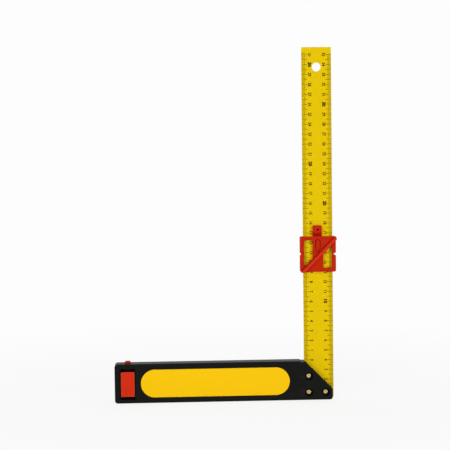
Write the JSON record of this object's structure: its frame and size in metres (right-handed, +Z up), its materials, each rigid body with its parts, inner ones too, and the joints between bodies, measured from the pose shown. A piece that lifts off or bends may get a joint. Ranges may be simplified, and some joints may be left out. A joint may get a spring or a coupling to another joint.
{
  "type": "carpenter square",
  "caption": "Carpenter square: a printed steel blade riveted into a mitred plastic handle, with a marking cursor that slides on the blade and a sliding edge stop in the handle's end cap.",
  "frame": {"origin": "middle of the handle's base edge, in the blade's middle plane", "axes": "+X along the handle towards the blade, +Z up the blade, the front with the thumb window faces -Y"},
  "size_m": [0.2268, 0.0164, 0.3575],
  "materials": {
    "lacquered_steel": "satin yellow lacquer",
    "black_plastic": "fine moulded texture",
    "yellow_label": "smooth satin",
    "red_plastic": "satin moulded",
    "brass": "formed, slightly dull",
    "blackened_steel": "black oxide",
    "zinc_steel": "zinc plated",
    "brake_rubber": "matte"
  },
  "bodies": {
    "square": {"blade": "lacquered_steel", "front_shell": "black_plastic", "rear_shell": "black_plastic", "front_label": "yellow_label", "rear_label": "yellow_label", "end_cap": "black_plastic", "rivet_upper": "brass", "rivet_inner": "brass", "rivet_outer": "brass", "front_washer_upper": "blackened_steel", "front_washer_inner": "blackened_steel", "front_washer_outer": "blackened_steel", "rear_washer_upper": "blackened_steel", "rear_washer_inner": "blackened_steel", "rear_washer_outer": "blackened_steel", "shell_screw_left": "zinc_steel", "shell_screw_middle": "zinc_steel", "shell_screw_right": "zinc_steel", "stop_spring": "zinc_steel"},
    "stop": {"stop_bar": "red_plastic", "thumb_pad": "red_plastic"},
    "cursor": {"cursor_frame": "red_plastic"},
    "brake": {"brake_lever": "red_plastic", "brake_pad": "brake_rubber"}
  },
  "joints": [
    {"name": "cursor_slide", "type": "slide", "parent": "square", "child": "cursor", "axis": [0, 0, 1], "range_m": [-0.0895, 0.19]},
    {"name": "brake_tilt", "type": "hinge", "parent": "cursor", "child": "brake", "pos_m": [0.0965, -0.0017, 0.1649], "axis": [-1, 0, 0], "range_deg": [0, 2.6], "stiffness_Nm_per_rad": 0.002, "springref_deg": -57.3},
    {"name": "stop_slide", "type": "slide", "parent": "square", "child": "stop", "axis": [0, 0, 1], "range_m": [-0.003, 0.003]}
  ]
}
